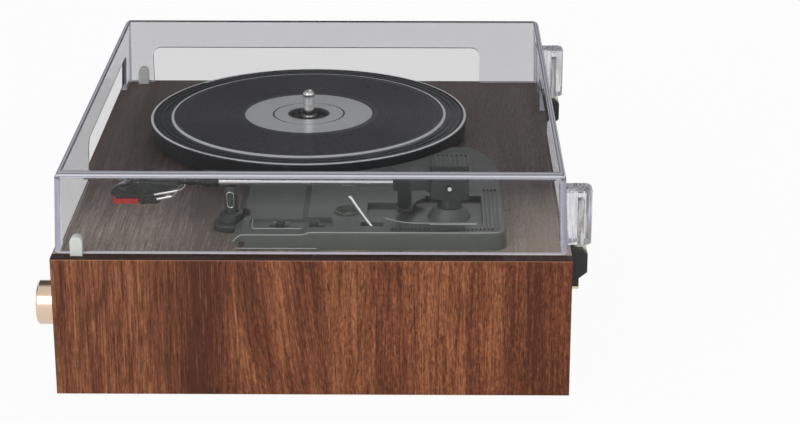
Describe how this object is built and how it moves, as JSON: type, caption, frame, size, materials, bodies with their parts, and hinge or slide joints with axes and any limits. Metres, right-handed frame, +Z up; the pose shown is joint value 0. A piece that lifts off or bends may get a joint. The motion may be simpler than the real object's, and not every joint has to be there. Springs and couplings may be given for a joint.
{
  "type": "record player",
  "caption": "Belt-drive record player in a folded walnut case with a clear hinged lid, ridged platter, moulded tonearm unit with cueing lever, turned brass volume knob.",
  "frame": {"origin": "on the floor, under the middle of the whole player with its knob and hinges", "axes": "+X to the player's right, +Y to its back, +Z up"},
  "size_m": [0.33, 0.31, 0.129],
  "materials": {
    "walnut_veneer": "satin walnut veneer folded over the case",
    "rear_board": "dark stained board",
    "block_wood": "raw softwood",
    "black_moulding": "fine spark-eroded texture",
    "arm_moulding": "dark grey moulding with a satin face",
    "foot_rubber": "matt rubber",
    "belt_rubber": "ground rubber",
    "clear_acrylic": "clear, slightly smoke-tinted",
    "silicone": "translucent soft moulding",
    "bright_steel": "plated",
    "polished_steel": "polished",
    "knob_brass": "turned and polished with a warm rose tone",
    "pulley_brass": "turned",
    "platter_moulding": "satin black moulding",
    "mat_rubber": "grey-black ridged rubber",
    "cue_moulding": "satin",
    "cartridge_shell": "glossy black",
    "stylus_red": "red moulding",
    "speaker_basket": "black paint",
    "speaker_paper": "pressed paper",
    "socket_moulding": "black insulator",
    "socket_metal": "plated shells",
    "circuit_board": "green board with parts"
  },
  "bodies": {
    "case": {"deck_panel": "walnut_veneer", "side_panel_left": "walnut_veneer", "side_panel_right": "walnut_veneer", "front_panel": "walnut_veneer", "rear_panel": "rear_board", "corner_blocks": "block_wood", "bottom_cover": "black_moulding", "jack_plate": "black_moulding", "switch_housings": "black_moulding", "rest_foot": "black_moulding", "rest_post": "black_moulding", "hinge_bracket_left": "black_moulding", "hinge_bracket_right": "black_moulding", "tonearm_base": "arm_moulding", "foot_front_left": "foot_rubber", "foot_front_right": "foot_rubber", "foot_rear_left": "foot_rubber", "foot_rear_right": "foot_rubber", "drive_belt": "belt_rubber", "bottom_screws": "bright_steel", "motor_screws": "bright_steel", "hinge_pins": "bright_steel", "transport_screw": "bright_steel", "motor": "bright_steel", "bearing_housing": "bright_steel", "speaker_left": "speaker_basket", "speaker_right": "speaker_basket", "speaker_cone_left": "speaker_paper", "speaker_cone_right": "speaker_paper", "headphone_socket": "socket_moulding", "power_inlet": "socket_moulding", "volume_control": "socket_moulding", "phono_sockets": "socket_metal", "main_board": "circuit_board"},
    "platter_assembly": {"spindle": "polished_steel", "spindle_clip": "bright_steel", "platter": "platter_moulding", "platter_hub": "black_moulding", "platter_mat": "mat_rubber"},
    "pulley": {"motor_pulley": "pulley_brass"},
    "knob": {"volume_knob": "knob_brass", "knob_shaft": "bright_steel"},
    "speed_slider": {"speed_switch": "arm_moulding"},
    "autostop_slider": {"autostop_switch": "arm_moulding"},
    "cue_hand_lever": {"cue_lever": "polished_steel"},
    "cue_arc": {"cue_lift": "cue_moulding"},
    "swivel": {"arm_swivel": "arm_moulding", "pivot_screws": "bright_steel"},
    "tonearm": {"arm_carrier": "arm_moulding", "arm_tube": "polished_steel", "headshell": "arm_moulding", "cartridge": "cartridge_shell", "cartridge_pins": "polished_steel", "stylus": "stylus_red"},
    "lid_assembly": {"lid": "clear_acrylic", "lid_bumpers": "silicone", "hinge_socket_left": "clear_acrylic", "hinge_socket_right": "clear_acrylic", "hinge_tongue_left": "bright_steel", "hinge_tongue_right": "bright_steel"}
  },
  "joints": [
    {"name": "lid_hinge", "type": "hinge", "parent": "case", "child": "lid_assembly", "pos_m": [0, 0.149, 0.078], "axis": [-1, 0, 0], "range_deg": [0, 75]},
    {"name": "platter_spin", "type": "hinge", "parent": "case", "child": "platter_assembly", "pos_m": [-0.048, -0.0095, 0.082], "axis": [0, 0, 1], "continuous": true},
    {"name": "pulley_spin", "type": "hinge", "parent": "case", "child": "pulley", "pos_m": [-0.11517, 0.03753, 0.082], "axis": [0, 0, 1], "continuous": true},
    {"name": "volume_turn", "type": "hinge", "parent": "case", "child": "knob", "pos_m": [0.124, -0.1405, 0.04], "axis": [0, 1, 0], "range_deg": [-150, 150]},
    {"name": "speed_slide", "type": "slide", "parent": "case", "child": "speed_slider", "axis": [0, 1, 0], "range_m": [-0.0035, 0.0035]},
    {"name": "autostop_slide", "type": "slide", "parent": "case", "child": "autostop_slider", "axis": [0, 1, 0], "range_m": [0, 0.004]},
    {"name": "cue_lever_turn", "type": "hinge", "parent": "case", "child": "cue_hand_lever", "pos_m": [0.134, 0.035, 0.0876], "axis": [-1, 0, 0], "range_deg": [0, 50]},
    {"name": "cue_arc_rise", "type": "slide", "parent": "case", "child": "cue_arc", "axis": [0, 0, 1], "range_m": [0, 0.0012]},
    {"name": "arm_swing", "type": "hinge", "parent": "case", "child": "swivel", "pos_m": [0.113, 0.077, 0.082], "axis": [0, 0, -1], "range_deg": [0, 44]},
    {"name": "arm_raise", "type": "hinge", "parent": "swivel", "child": "tonearm", "pos_m": [0.113, 0.077, 0.109], "axis": [-1, 0, 0], "range_deg": [0, 3]}
  ],
  "couplings": [
    {"joint": "pulley_spin", "follows": "platter_spin", "ratio": 10.071},
    {"joint": "cue_lever_turn", "follows": "cue_arc_rise", "rad_per_m": 727},
    {"joint": "arm_raise", "follows": "cue_arc_rise", "rad_per_m": 43.6}
  ]
}
